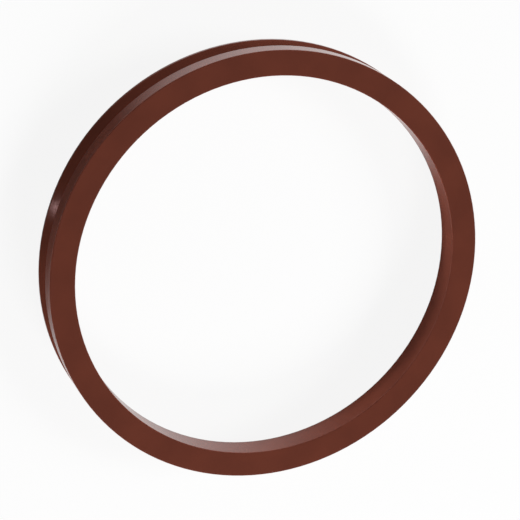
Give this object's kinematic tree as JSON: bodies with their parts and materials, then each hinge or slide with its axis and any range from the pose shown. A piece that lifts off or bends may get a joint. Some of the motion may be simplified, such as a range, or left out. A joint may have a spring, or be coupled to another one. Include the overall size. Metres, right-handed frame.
{
  "type": "axial shaft seal ring",
  "caption": "Moulded rubber shaft seal: a ring body that grips the shaft, with a flat back face and, behind a groove, a conical lip that runs against a flat face.",
  "frame": {"origin": "on the ring's axis, in the plane that the tip of the lip touches, which is the surface the ring lies on", "axes": "+Z along the ring's axis, from the lip towards the flat back face; X and Y in the plane of the ring"},
  "size_m": [0.122, 0.122, 0.0128],
  "materials": {
    "brown_rubber": "smooth moulded fluororubber, satin"
  },
  "bodies": {
    "root": {"seal_ring": "brown_rubber"}
  },
  "joints": []
}
